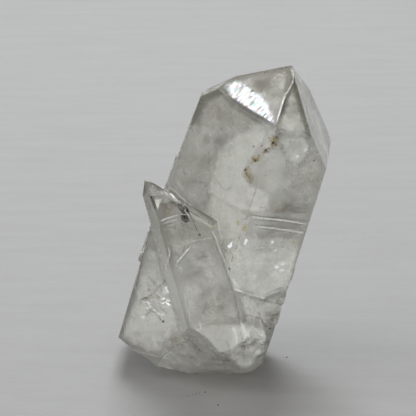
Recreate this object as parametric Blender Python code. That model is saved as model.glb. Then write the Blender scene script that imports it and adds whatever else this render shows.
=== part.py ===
"""Quartz crystal on its broken base, in metres, +Z up, front towards -Y, origin under the middle of its outer box.

A tall main crystal leans to the right. A short crystal in front of it leans to the left and is grown into it.
Both have the angles of real quartz: six prism faces, 60 degrees apart round the long axis, and a pyramid face
over each. Every face is a plane at its own distance from the axis. Low growth steps stand on the prism faces, and
the lower end is a rough break with smooth shell-shaped scars. Names that end in MM hold millimetres.
"""

import collections
import math
import random

import bmesh
import bpy
from mathutils import Vector, noise

MM = 0.001

# The pyramid faces stand this far from the long axis, which the ratio of quartz's cell edges gives.
CELL_RATIO = 1.100
PYRAMID_ELEVATION = 90 - math.degrees(math.atan(2 * CELL_RATIO / math.sqrt(3)))

# Faces are numbered round the axis.
LEFT, FRONT_LEFT, FRONT_RIGHT, RIGHT, BACK_RIGHT, BACK_LEFT = range(6)
FACE_AZIMUTHS = [-90, -30, 30, 90, 150, 210]

# Each crystal: its lean to the right, nod to the front and turn round its own axis in degrees, the foot of its
# axis, the height along the axis at which its prism is measured, the distance and the taper in degrees of each
# prism face, and where each pyramid face would cross the axis.
MAIN = {
    "tilt": (18.6, 3.3, -5.6),
    "foot_mm": (-5.7, 0, 0),
    "waist_mm": 30,
    "prism": [(14.1, 0.8), (12.4, 0.0), (14.6, 1.8), (14.3, 3.4), (11.8, 1.2), (11.2, 0.6)],
    "tips_mm": [73.6, 75.0, 76.2, 68.4, 67.9, 61.1],
}
SHORT = {
    "tilt": (-15.1, -4.1, 34.0),
    "foot_mm": (3.9, -14.3, 1.35),
    "waist_mm": 20,
    "prism": [(6.1, 1.0), (5.1, 2.9), (7.6, 2.7), (8.0, 1.4), (6.0, 1.0), (4.4, 0.8)],
    "tips_mm": [48.6, 46.3, 41.6, 38.3, 48.0, 50.0],
}
# Below its waist the main crystal's left face turns in again towards the base.
LOW_LEFT_MM, LOW_LEFT_TAPER, LOW_LEFT_WAIST_MM = 13.3, -3.2, 12

# The break: a flat that the crystal rests on, ramps that rise from it to each side, and their roughness.
REST_LEFT_MM, REST_RIGHT_MM = -3.0, 7.0
REST_FRONT_MM, REST_BACK_MM = -8.8, 6.5
RAMP_LEFT, RAMP_RIGHT, RAMP_FRONT, RAMP_BACK = 0.45, 0.85, 0.95, 0.50
BREAK_GRID_MM = 1.3
BREAK_CELLS = 44
BREAK_DEPTH_MM = 20
BREAK_ROUGHNESS_MM = 0.55
BREAK_GRAIN_MM = 3.2
FINE_GRAIN_SHARE, FINE_GRAIN_DENSITY = 0.5, 2.4

# Scars are shallow bowls seen from in front of a plane: where the bowl's middle is across and along the plane, the
# radii of its rim, its depth, how far it stands out of the plane and leans from it, the number of its shell-like
# ripples, the roughness of its skin, and the height of the small terraces in it.
Bowl = collections.namedtuple(
    "Bowl",
    "across along radii depth out lean_across lean_along ripples grain terrace",
    defaults=(0, 0, 0, 0, 0, 0),
)
# On the main crystal's faces the plane is the face, and along it is the height up the crystal.
FRONT_RIGHT_BOWLS = [
    Bowl(-1.8, 12.3, (12.6, 12.6), 1.7, ripples=7),
    Bowl(9.3, 18.8, (7.2, 7.2), 1.5, ripples=5),
    Bowl(6.0, 9.0, (7.5, 9.6), 2.2, grain=0.5),
]
SPLINTERED_BOWLS = [Bowl(-2.4, 14.3, (3.9, 4.6), 0.25, terrace=0.45)]
# Round the base each plane has a middle and the direction in which it faces.
BASE_FRONT_MIDDLE_MM, BASE_FRONT_FACING = (0, -14.2, 6.0), (0, -0.72, -0.69)
BASE_FRONT_BOWLS = [
    Bowl(-5.8, 1.0, (3.9, 9.2), 1.0, out=-1.25, lean_along=-0.20, ripples=6),
    Bowl(1.8, -1.1, (8.5, 6.9), 0.9, out=1.0, lean_along=0.10, ripples=5),
    Bowl(9.0, 0.7, (5.5, 8.5), 1.0, out=-0.7, lean_across=-0.38, lean_along=-0.12, grain=0.5),
]
BASE_BACK_MIDDLE_MM, BASE_BACK_FACING = (0, 9.5, 4.5), (0.1, 0.85, -0.50)
BASE_BACK_BOWLS = [Bowl(0, 0, (9.0, 8.0), 1.5, ripples=6)]
BASE_RIGHT_MIDDLE_MM, BASE_RIGHT_FACING = (13.0, 5.0, 7.0), (0.80, 0.45, -0.35)
BASE_RIGHT_BOWLS = [Bowl(0, 0, (6.5, 8.5), 1.4, ripples=6)]
RIPPLE_MM = 0.05
SCAR_GRAIN_MM = 1.5
TERRACE_MM = 1.1
TERRACE_STRETCH = 1.6
TERRACE_SHUFFLE = 3.7
# A block of scars reaches this many of its largest bowl's radii to each side, and stands this high.
SCAR_REACH = 1.7
SCAR_TOP_MM = 4
SCAR_BLOCK_MM = 14
SCAR_CELL_MM, UNDERCUT_CELL_MM, SPLINTER_CELL_MM = 0.9, 0.8, 0.4

# Growth steps on the crystals' front faces: outline as (across, height) on the face, and how far they stand out.
# A step that is wider than its face ends just inside the face's edges.
MAIN_STEPS_MM = {
    "band": (FRONT_RIGHT, [(-12, 36.9), (12, 36.9), (12, 40.3), (-12, 40.3)], 0.14),
    "rib_high": (FRONT_RIGHT, [(-12, 39.9), (12, 39.9), (12, 40.4), (-12, 40.3)], 0.30),
    "rib_low": (FRONT_RIGHT, [(-3.8, 38.3), (12, 38.2), (12, 38.7), (-3.8, 38.6)], 0.30),
}
SHORT_STEPS_MM = {
    "rib_high": (FRONT_LEFT, [(-9, 35.8), (-0.5, 36.0), (-0.4, 36.4), (-9, 36.3)], 0.20),
    "rib_middle": (FRONT_LEFT, [(-9, 35.0), (-0.9, 35.0), (-0.9, 35.4), (-9, 35.4)], 0.14),
    "rib_low": (FRONT_LEFT, [(-3.4, 34.0), (-1.2, 34.0), (-1.2, 34.4), (-3.3, 34.4)], 0.14),
    "sheet": (FRONT_LEFT, [(0.3, 30.3), (12, 30.3), (12, 14.0), (-3.2, 14.0), (-3.1, 27.2), (-1.3, 29.0)], 0.16),
    "rib_sheet": (FRONT_LEFT, [(1.4, 30.0), (12, 30.1), (12, 30.6), (1.4, 30.5)], 0.28),
    "rib_foot": (FRONT_LEFT, [(1.1, 27.0), (3.1, 27.0), (3.1, 27.4), (1.1, 27.4)], 0.30),
}
EDGE_INSET_MM = 0.12
# Bands of growth lines on the faces that the front doesn't show.
STRIATED_FACES = [(MAIN, RIGHT, 5), (MAIN, BACK_RIGHT, 6), (MAIN, BACK_LEFT, 6), (MAIN, LEFT, 4)]
STRIATION_LOWEST_MM, STRIATION_HIGHEST_MM = 15, 42
STRIATION_START = (0.1, 0.7)
STRIATION_TALL_MM = (0.4, 2.4)
STRIATION_REACH_MM = (3, 14)
STRIATION_SLANT_MM = (-0.2, 0.2)
STRIATION_OUT_MM = (0.09, 0.2)
STRIATION_SEED = 11

# The point under the middle of the outer box, which becomes the origin.
FOOTPRINT_MIDDLE_MM = (3.05, -3.27)

EMBED_MM = 1.2
BLANK_MM = 200
BLANK_FOOT_MM = {"quartz_crystal": -11, "short_crystal": -10}


def crystal_axes(crystal):
    """The long axis, and the two directions across it from which the faces' azimuths are counted."""
    lean, nod, turn = (math.radians(angle) for angle in crystal["tilt"])
    up = Vector((math.sin(lean), -math.sin(nod) * math.cos(lean), math.cos(nod) * math.cos(lean)))
    front = Vector((0, -1, 0))
    front = (front - up * up.dot(front)).normalized()
    front = math.cos(turn) * front + math.sin(turn) * up.cross(front)
    return up, front, up.cross(front)


def face_normal(crystal, face, elevation):
    up, front, right = crystal_axes(crystal)
    azimuth, elevation = math.radians(FACE_AZIMUTHS[face]), math.radians(elevation)
    across = math.cos(azimuth) * front + math.sin(azimuth) * right
    return math.cos(elevation) * across + math.sin(elevation) * up


def axis_point(crystal, height_mm):
    return (Vector(crystal["foot_mm"]) + crystal_axes(crystal)[0] * height_mm) * MM


def prism_plane(crystal, face, distance_mm, taper, waist_mm):
    """A point on a prism face, and the face's outward normal."""
    outward = face_normal(crystal, face, 0)
    return axis_point(crystal, waist_mm) + outward * distance_mm * MM, face_normal(crystal, face, taper)


def crystal_planes(crystal):
    for face, (distance_mm, taper) in enumerate(crystal["prism"]):
        yield prism_plane(crystal, face, distance_mm, taper, crystal["waist_mm"])
    for face, tip_mm in enumerate(crystal["tips_mm"]):
        yield axis_point(crystal, tip_mm), face_normal(crystal, face, PYRAMID_ELEVATION)


def new_object(name, mesh):
    """Turns a closed mesh into an object of triangles that face outwards."""
    bmesh.ops.triangulate(mesh, faces=mesh.faces)
    bmesh.ops.recalc_face_normals(mesh, faces=mesh.faces)
    if mesh.calc_volume(signed=True) < 0:
        bmesh.ops.reverse_faces(mesh, faces=mesh.faces)
    data = bpy.data.meshes.new(name)
    mesh.to_mesh(data)
    mesh.free()
    return bpy.data.objects.new(name, data)


def cut_back(mesh, planes):
    """Cuts a closed mesh back to each plane in turn, and closes each cut with one flat face."""
    for point, outward in planes:
        everything = mesh.verts[:] + mesh.edges[:] + mesh.faces[:]
        cut = bmesh.ops.bisect_plane(mesh, geom=everything, plane_co=point, plane_no=outward, clear_outer=True)
        rim = [item for item in cut["geom_cut"] if isinstance(item, bmesh.types.BMEdge)]
        if rim:
            bmesh.ops.edgeloop_fill(mesh, edges=rim)


def make_crystal(name, crystal, more_planes=()):
    """A large cube, cut back to the crystal's faces."""
    mesh = bmesh.new()
    bmesh.ops.create_cube(mesh, size=BLANK_MM * MM)
    below = (Vector((0, 0, BLANK_FOOT_MM[name] * MM)), Vector((0, 0, -1)))
    cut_back(mesh, [below, *crystal_planes(crystal), *more_planes])
    return new_object(name, mesh)


def combine(target, name, operation, helpers):
    """Joins shapes to the target or cuts them out, all at once, and keeps them as hidden helpers."""
    group = bpy.data.collections.new(name)
    bpy.context.scene.collection.children.link(group)
    for helper in helpers:
        helper.hide_render = True
        helper.display_type = "WIRE"
        group.objects.link(helper)
    step = target.modifiers.new(name, "BOOLEAN")
    step.operation = operation
    step.solver = "MANIFOLD"
    step.operand_type = "COLLECTION"
    step.collection = group


def face_place(crystal, face):
    """Gives a function that places a point on a prism face: across it, up the axis and out of it, in millimetres."""
    point, normal = prism_plane(crystal, face, *crystal["prism"][face], crystal["waist_mm"])
    up = crystal_axes(crystal)[0]
    across = up.cross(normal).normalized()

    def place(across_mm, height_mm, out_mm):
        spot = axis_point(crystal, height_mm) + across * across_mm * MM
        return spot + normal * ((point - spot).dot(normal) + out_mm * MM)

    return place


def make_step(name, crystal, face, outline_mm, out_mm):
    """A low growth step: a plate of the given outline that stands out of a prism face, within its edges."""
    place = face_place(crystal, face)
    mesh = bmesh.new()
    low = [mesh.verts.new(place(*spot, -EMBED_MM)) for spot in outline_mm]
    high = [mesh.verts.new(place(*spot, out_mm)) for spot in outline_mm]
    mesh.faces.new(low)
    mesh.faces.new(high)
    for index in range(len(low)):
        after = (index + 1) % len(low)
        mesh.faces.new((low[index], low[after], high[after], high[index]))
    others = [plane for number, plane in enumerate(crystal_planes(crystal)) if number != face]
    cut_back(mesh, [(point - outward * EDGE_INSET_MM * MM, outward) for point, outward in others])
    return new_object(name, mesh)


def striations(rng, count):
    """Outlines and thicknesses of bands across a face, at uneven heights."""
    spacing_mm = (STRIATION_HIGHEST_MM - STRIATION_LOWEST_MM) / count
    for index in range(count):
        low_mm = STRIATION_LOWEST_MM + spacing_mm * (index + rng.uniform(*STRIATION_START))
        high_mm = low_mm + rng.uniform(*STRIATION_TALL_MM)
        left_mm, right_mm = -rng.uniform(*STRIATION_REACH_MM), rng.uniform(*STRIATION_REACH_MM)
        slant_mm = rng.uniform(*STRIATION_SLANT_MM)
        outline_mm = [(left_mm, low_mm), (right_mm, low_mm + slant_mm), (right_mm, high_mm), (left_mm, high_mm)]
        yield outline_mm, rng.uniform(*STRIATION_OUT_MM)


def break_height_mm(x_mm, y_mm):
    """Height of the broken underside: flat where it rests, and rising unevenly towards every side."""
    rise_mm = max(
        (REST_LEFT_MM - x_mm) * RAMP_LEFT,
        (x_mm - REST_RIGHT_MM) * RAMP_RIGHT,
        (REST_FRONT_MM - y_mm) * RAMP_FRONT,
        (y_mm - REST_BACK_MM) * RAMP_BACK,
        0,
    )
    spot = Vector((x_mm, y_mm, 0)) / BREAK_GRAIN_MM
    grain = noise.noise(spot) + FINE_GRAIN_SHARE * noise.noise(spot * FINE_GRAIN_DENSITY)
    return max(0, rise_mm + grain * BREAK_ROUGHNESS_MM * min(1, rise_mm))


def make_break():
    """The block under the break, which is cut away from the crystals."""
    mesh = bmesh.new()
    size = BREAK_CELLS * BREAK_GRID_MM * MM / 2
    bmesh.ops.create_grid(mesh, x_segments=BREAK_CELLS, y_segments=BREAK_CELLS, size=size)
    bmesh.ops.triangulate(mesh, faces=mesh.faces, quad_method="ALTERNATE")
    for corner in mesh.verts:
        corner.co.z = break_height_mm(corner.co.x / MM, corner.co.y / MM) * MM
    below = bmesh.ops.extrude_face_region(mesh, geom=mesh.faces[:])
    for item in below["geom"]:
        if isinstance(item, bmesh.types.BMVert):
            item.co.z = -BREAK_DEPTH_MM * MM
    return new_object("break_block", mesh)


def bowl_height_mm(bowl, across_mm, along_mm):
    """Height of a bowl's skin over its plane, which is below zero inside the rim."""
    away = Vector((across_mm - bowl.across, along_mm - bowl.along))
    inside = Vector((away.x / bowl.radii[0], away.y / bowl.radii[1]))
    height_mm = bowl.out + away.x * bowl.lean_across + away.y * bowl.lean_along
    height_mm += bowl.depth * (inside.length_squared - 1)
    struck_at = Vector((0, -1))
    height_mm += RIPPLE_MM * math.sin(math.pi * bowl.ripples * (inside - struck_at).length)
    height_mm += bowl.grain * noise.noise(Vector((across_mm, along_mm, bowl.depth)) / SCAR_GRAIN_MM)
    if bowl.terrace:
        nearest = noise.voronoi(Vector((across_mm, along_mm * TERRACE_STRETCH, 0)) / TERRACE_MM)[1][0]
        height_mm += bowl.terrace * noise.noise(nearest * TERRACE_SHUFFLE)
    return height_mm


def make_scars(name, middle, outward, upward, bowls, cell_mm):
    """A block that stands on a plane, and whose underside has the shape of several bowls."""
    outward = outward.normalized()
    across = upward.cross(outward).normalized()
    along = outward.cross(across)
    reach_mm = [SCAR_REACH * max(bowl.radii[side] for bowl in bowls) for side in (0, 1)]
    centre_mm = [sum(bowl[side] for bowl in bowls) / len(bowls) for side in (0, 1)]
    cells = [math.ceil(2 * reach / cell_mm) for reach in reach_mm]
    mesh = bmesh.new()
    bmesh.ops.create_grid(mesh, x_segments=cells[0], y_segments=cells[1], size=1)
    bmesh.ops.triangulate(mesh, faces=mesh.faces, quad_method="ALTERNATE")
    skin = set(mesh.verts)
    bmesh.ops.extrude_face_region(mesh, geom=mesh.faces[:])
    for corner in mesh.verts:
        spot_mm = [centre + reach * part for centre, reach, part in zip(centre_mm, reach_mm, corner.co.xy)]
        height_mm = SCAR_BLOCK_MM
        if corner in skin:
            height_mm = min(SCAR_TOP_MM, *(bowl_height_mm(bowl, *spot_mm) for bowl in bowls))
        corner.co = middle + (across * spot_mm[0] + along * spot_mm[1] + outward * height_mm) * MM
    return new_object(name, mesh)


def face_scars(name, face, bowls, cell_mm):
    """Scars on one of the main crystal's prism faces."""
    place = face_place(MAIN, face)
    outward = prism_plane(MAIN, face, *MAIN["prism"][face], MAIN["waist_mm"])[1]
    return make_scars(name, place(0, 0, 0), outward, crystal_axes(MAIN)[0], bowls, cell_mm)


def base_scars(name, middle_mm, facing, bowls, cell_mm):
    return make_scars(name, Vector(middle_mm) * MM, Vector(facing), Vector((0, 0, 1)), bowls, cell_mm)


def quartz_material():
    """Clear, faintly grey quartz."""
    material = bpy.data.materials.new("quartz")
    material.use_nodes = True
    shader = material.node_tree.nodes["Principled BSDF"]
    shader.inputs["Base Color"].default_value = (0.80, 0.80, 0.77, 1)
    shader.inputs["Roughness"].default_value = 0.05
    shader.inputs["Metallic"].default_value = 0
    shader.inputs["IOR"].default_value = 1.544
    shader.inputs["Transmission Weight"].default_value = 1
    return material


def main():
    for old in list(bpy.data.objects):
        bpy.data.objects.remove(old)

    low_left = prism_plane(MAIN, LEFT, LOW_LEFT_MM, LOW_LEFT_TAPER, LOW_LEFT_WAIST_MM)
    quartz = make_crystal("quartz_crystal", MAIN, [low_left])
    quartz.data.materials.append(quartz_material())
    bpy.context.scene.collection.objects.link(quartz)

    scars = [
        face_scars("scars_front", FRONT_RIGHT, FRONT_RIGHT_BOWLS, SCAR_CELL_MM),
        face_scars("splinters", FRONT_LEFT, SPLINTERED_BOWLS, SPLINTER_CELL_MM),
        base_scars("scars_back", BASE_BACK_MIDDLE_MM, BASE_BACK_FACING, BASE_BACK_BOWLS, SCAR_CELL_MM),
        base_scars("scars_right", BASE_RIGHT_MIDDLE_MM, BASE_RIGHT_FACING, BASE_RIGHT_BOWLS, SCAR_CELL_MM),
    ]
    combine(quartz, "scarred", "DIFFERENCE", scars)

    grown = [make_crystal("short_crystal", SHORT)]
    for crystal, steps in ((MAIN, MAIN_STEPS_MM), (SHORT, SHORT_STEPS_MM)):
        grown += [make_step(name, crystal, *step) for name, step in steps.items()]
    rng = random.Random(STRIATION_SEED)
    for crystal, face, count in STRIATED_FACES:
        grown += [make_step("striation", crystal, face, *step) for step in striations(rng, count)]
    combine(quartz, "grown", "UNION", grown)

    undercut = base_scars(
        "scars_base", BASE_FRONT_MIDDLE_MM, BASE_FRONT_FACING, BASE_FRONT_BOWLS, UNDERCUT_CELL_MM
    )
    combine(quartz, "broken", "DIFFERENCE", [undercut, make_break()])

    middle = Vector((*FOOTPRINT_MIDDLE_MM, 0)) * MM
    for piece in bpy.data.objects:
        piece.location -= middle


main()
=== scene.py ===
"""Looks of the quartz crystal: the clear solid, what lies inside and on it, the pale floor, the light and the camera.

Marks are placed by where the camera sees them: a named outline in pixels of the photograph is sent along the camera's
rays to the crystal's surface, bent there as quartz bends light, and followed to a depth below the face.
"""

import math
import random

import bmesh
import bpy
from mathutils import Matrix, Vector, geometry, noise
from mathutils.bvhtree import BVHTree


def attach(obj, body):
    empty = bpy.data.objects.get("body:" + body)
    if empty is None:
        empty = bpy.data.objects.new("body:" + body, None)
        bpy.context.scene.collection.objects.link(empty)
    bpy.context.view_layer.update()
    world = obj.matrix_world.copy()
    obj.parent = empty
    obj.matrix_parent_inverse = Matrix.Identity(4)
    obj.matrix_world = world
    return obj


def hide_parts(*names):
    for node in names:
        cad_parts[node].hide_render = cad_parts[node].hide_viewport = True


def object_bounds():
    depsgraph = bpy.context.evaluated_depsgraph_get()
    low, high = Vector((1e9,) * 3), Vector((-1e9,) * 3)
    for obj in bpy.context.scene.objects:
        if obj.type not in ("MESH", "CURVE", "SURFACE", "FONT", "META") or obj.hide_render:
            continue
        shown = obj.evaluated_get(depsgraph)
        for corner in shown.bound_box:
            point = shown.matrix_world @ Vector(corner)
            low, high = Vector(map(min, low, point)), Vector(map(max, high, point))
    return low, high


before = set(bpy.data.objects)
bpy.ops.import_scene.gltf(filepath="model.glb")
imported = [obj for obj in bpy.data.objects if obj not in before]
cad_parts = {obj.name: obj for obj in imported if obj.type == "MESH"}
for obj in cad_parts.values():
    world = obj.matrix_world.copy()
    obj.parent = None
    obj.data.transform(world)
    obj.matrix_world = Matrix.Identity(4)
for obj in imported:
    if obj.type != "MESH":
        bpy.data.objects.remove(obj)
cad_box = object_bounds()

MM = 0.001

# The photograph is square. The camera looks down at the crystal from a little above.
PHOTO_SIDE_PX = 416
CAMERA_MM = (-3.05, -402.93, 195.88)
CAMERA_AIM_MM = (-3.05, 14.30, 27.31)
LENS_MM, SENSOR_MM = 194.7, 36
# Size of one pixel of the photograph at the crystal.
PIXEL_MM = 0.2
CRYSTAL_MIDDLE_PX = (225, 230)
OUTLINE_STEP_PX, OUTLINE_STEPS = 0.5, 16

QUARTZ_IOR = 1.544
# Faces of the solid smaller than this belong to the break.
BREAK_FACE_MM2 = 1.2
BREAK_CREASE_ANGLE = 38
HACKLE_MM, HACKLE_GRAIN_MM = 0.07, 0.7

FLOOR_SIDE_MM = 6000

# Sheets: outline in pixels, depth under the face in millimetres, how much the sheet hides, and the width in pixels
# over which its border fades. A film lies on the face, so its depth is negative, and a thicker crust on the break.
FILM_MM = -0.03
CLOUDY_MM = -0.045
BREAK_FILM_MM = -0.07
WHITE_VEILS = {
    "veil_main": (
        [(231, 139), (238, 133), (246, 131), (258, 130), (268, 130), (264, 142), (256, 152), (248, 163), (244, 174),
         (251, 185), (262, 188), (271, 193), (269, 203), (265, 213), (240, 212), (226, 205), (207, 193), (210, 178),
         (214, 163), (218, 151), (225, 143)],
        FILM_MM, 0.72, 3.5,
    ),
    "veil_trail": (
        [(268, 129), (282, 127), (284, 140), (277, 156), (264, 162), (257, 174), (250, 184), (245, 174), (248, 164),
         (257, 152), (264, 142)],
        FILM_MM, 0.36, 4,
    ),
    "veil_middle": (
        [(209, 190), (226, 200), (240, 208), (252, 214), (250, 232), (240, 244), (240, 262), (238, 284), (231, 276),
         (223, 250), (215, 228), (208, 210)],
        FILM_MM, 0.62, 6,
    ),
    "veil_strip": ([(222, 240), (240, 236), (246, 262), (244, 291), (233, 289), (226, 266)], FILM_MM, 1.0, 3),
    "veil_below_v": ([(236, 292), (262, 301), (282, 298), (276, 312), (262, 318), (243, 318)], FILM_MM, 0.55, 5),
    "veil_low": (
        [(236, 246), (262, 250), (301, 244), (297, 262), (291, 289), (263, 300), (232, 291), (236, 266)],
        FILM_MM, 0.84, 6,
    ),
    "veil_low_top": (
        [(237, 232), (262, 234), (303, 233), (299, 256), (262, 264), (235, 260)],
        CLOUDY_MM, 0.42, 8,
    ),
    "veil_bruise": (
        [(281, 129), (293, 127), (300, 130), (306, 138), (310, 147), (307, 157), (298, 165), (288, 162), (283, 150),
         (278, 140)],
        FILM_MM, 0.60, 3,
    ),
    "veil_right": (
        [(262, 150), (278, 140), (296, 164), (312, 160), (322, 166), (312, 200), (272, 194), (256, 185), (250, 172)],
        FILM_MM, 0.20, 8,
    ),
    "veil_top": (
        [(206, 98), (222, 93), (240, 109), (256, 118), (268, 128), (240, 134), (220, 140), (198, 138), (198, 115)],
        FILM_MM, 0.38, 6,
    ),
    "veil_point": (
        [(276, 134), (281, 112), (288, 94), (293, 80), (300, 106), (309, 138), (296, 139)],
        FILM_MM, 0.52, 6,
    ),
    "veil_foot": (
        [(186, 330), (200, 320), (222, 323), (243, 322), (246, 336), (240, 352), (228, 360), (212, 353), (199, 347),
         (192, 338)],
        FILM_MM, 0.42, 5,
    ),
    "veil_rough": (
        [(228, 326), (246, 321), (262, 325), (270, 334), (265, 350), (255, 364), (246, 371), (236, 370), (226, 358)],
        BREAK_FILM_MM, 0.92, 6,
    ),
    "veil_left": (
        [(148, 244), (158, 250), (165, 278), (178, 300), (178, 326), (160, 336), (122, 336), (130, 305), (140, 270)],
        BREAK_FILM_MM, 0.72, 6,
    ),
    "veil_corner": (
        [(124, 326), (140, 318), (162, 326), (166, 345), (150, 354), (130, 346), (120, 340)],
        FILM_MM, 0.52, 6,
    ),
    "veil_band": (
        [(169, 199), (180, 199), (192, 207), (204, 215), (217, 223), (213, 230), (206, 226), (194, 219), (180, 209)],
        FILM_MM, 0.25, 2,
    ),
    "veil_tip": (
        [(147, 188), (152, 183), (160, 188), (168, 192), (172, 204), (160, 204), (152, 200)],
        FILM_MM, 0.32, 3,
    ),
    "veil_wedge": ([(161, 187.8), (168, 189.6), (177.4, 202), (172, 201), (165, 195)], FILM_MM, 0.14, 1.5),
    "veil_short_triangle": ([(154.5, 199.8), (161.8, 198.4), (157.4, 210)], FILM_MM, 0.95, 0),
}
# Uneven cloudiness over whole faces.
CLOUDY_FACES = {
    "cloudy_short": (
        [(163, 222), (180, 216), (212, 234), (228, 274), (242, 320), (214, 326), (188, 326), (172, 270)],
        CLOUDY_MM, 0.37, 8,
    ),
    "cloudy_left": (
        [(192, 125), (208, 98), (222, 93), (270, 129), (262, 145), (230, 200), (210, 222), (192, 204), (172, 186),
         (180, 160)],
        CLOUDY_MM, 0.40, 6,
    ),
    "cloudy_right": (
        [(280, 128), (311, 134), (324, 166), (310, 214), (302, 240), (286, 286), (262, 296), (240, 286), (252, 216),
         (268, 170)],
        CLOUDY_MM, 0.34, 6,
    ),
    "cloudy_top": ([(224, 90), (240, 78), (288, 68), (286, 94), (272, 124)], CLOUDY_MM, 0.42, 5),
    "cloudy_base": (
        [(120, 338), (132, 300), (146, 262), (170, 300), (200, 352), (236, 364), (230, 372), (198, 372), (160, 356)],
        CLOUDY_MM, 0.78, 6,
    ),
    "cloudy_foot": ([(242, 292), (262, 300), (284, 292), (272, 322), (262, 345), (246, 330)], CLOUDY_MM, 0.85, 4),
}
SMOKY_FACES = {
    "dim_short": ([(164, 222), (184, 219), (210, 234), (232, 290), (240, 318), (196, 322), (176, 280)], 0.5, 0.46, 8),
    "dim_left": ([(194, 120), (206, 98), (262, 126), (228, 140), (205, 190), (180, 186), (182, 158)], 0.5, 0.12, 6),
    "dim_right": ([(296, 164), (322, 164), (310, 214), (298, 244), (258, 240), (262, 212), (276, 200)], 0.5, 0.34, 6),
    "dim_base": ([(140, 336), (172, 326), (204, 352), (232, 368), (198, 371), (164, 357)], 0.5, 0.16, 6),
}
SMOKY_VEILS = {
    "smoke_right": ([(284, 200), (300, 203), (312, 202), (309, 214), (292, 216), (276, 214)], 0.6, 0.50, 4),
    "smoke_under_ribs": ([(256, 231), (288, 234), (302, 236), (298, 242), (280, 240), (258, 240)], 0.5, 0.40, 3),
    "smoke_between_ribs": ([(256, 219), (305, 224), (304, 231), (258, 226)], 0.3, 0.25, 2),
    "smoke_wedge": ([(204, 128), (213, 133), (212, 158), (204, 170), (200, 152)], 0.4, 0.28, 4),
    "smoke_short": ([(161, 201), (167, 192), (178, 202), (180, 216), (162, 219)], 0.6, 0.14, 2),
    "smoke_short_low": ([(163, 222), (180, 219), (192, 232), (196, 238), (176, 248), (168, 240)], 0.6, 0.30, 4),
    "smoke_scar": ([(172, 328), (182, 329), (194, 342), (204, 352), (190, 364), (168, 358), (162, 344)], 0.6, 0.30, 4),
    "smoke_top": ([(240, 80), (262, 74), (284, 70), (288, 80), (276, 96), (262, 98), (250, 88)], 1.0, 0.10, 5),
    "smoke_side": ([(296, 164), (312, 160), (322, 168), (316, 192), (300, 196), (284, 190)], 1.0, 0.12, 6),
    "smoke_edge": ([(300, 84), (316, 110), (328, 138), (322, 160), (312, 134)], 0.6, 0.16, 4),
    "smoke_foot": ([(262, 318), (278, 312), (272, 324), (268, 336), (256, 330), (246, 318)], 0.5, 0.12, 3),
}
DARK_FLAKES = {
    "crack_left": ([(176.6, 203), (180, 202.6), (183, 208), (186, 214), (182.6, 213.6), (179, 209)], FILM_MM, 0.9, 0),
    "crack_right": ([(184.6, 205), (188, 208.6), (190, 214), (187, 213)], FILM_MM, 0.95, 0),
    "crack_lower": ([(180.4, 214.6), (187, 215), (190, 221), (186, 223), (181.6, 220)], FILM_MM, 0.75, 0),
}
# Small bright flakes: chips whose white is a painted glint. Outline in pixels and how much each one hides.
BRIGHT_FLAKES = {
    "flake_triangle": ([(232.5, 241.5), (227.3, 246), (229, 248.5), (232, 246.5)], 0.9),
    "flake_slim": ([(245.6, 238.6), (247.6, 240), (245.8, 244.8), (243, 244.6)], 1),
    "flake_middle": ([(272.7, 239.4), (274, 242), (271.6, 244.2), (270.2, 241.6)], 1),
    "flake_dot": ([(276, 248.6), (277, 250.4), (275.2, 251.4), (274.2, 249.8)], 0.9),
    "flake_group_1": ([(274, 266), (277, 264.6), (279, 267.6), (275.6, 269)], 0.8),
    "flake_group_2": ([(280.6, 262), (285, 263), (283, 265.4), (281, 265)], 0.8),
    "flake_group_3": ([(279, 270), (283, 268.8), (284.8, 270.6), (280, 271.4)], 0.7),
    "flake_patch": ([(162, 293), (164, 287), (168, 286), (168.6, 291), (166, 294.5)], 0.85),
    "flake_oval": ([(140.6, 317.6), (143, 316), (145.6, 316.4), (143.6, 318.2)], 1),
    "flake_bruise_1": ([(303.6, 149), (307, 148), (307.6, 151), (304.6, 151.8)], 0.6),
    "flake_bruise_2": ([(295.6, 155), (299, 154.6), (299.4, 157.4), (296, 157.8)], 0.6),
    "flake_bruise_3": ([(294, 163), (296, 163), (296, 166), (294.4, 166)], 0.45),
    "flake_v": ([(261, 296.6), (264.6, 296.4), (265, 298.6), (262, 299.2)], 0.6),
}
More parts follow.
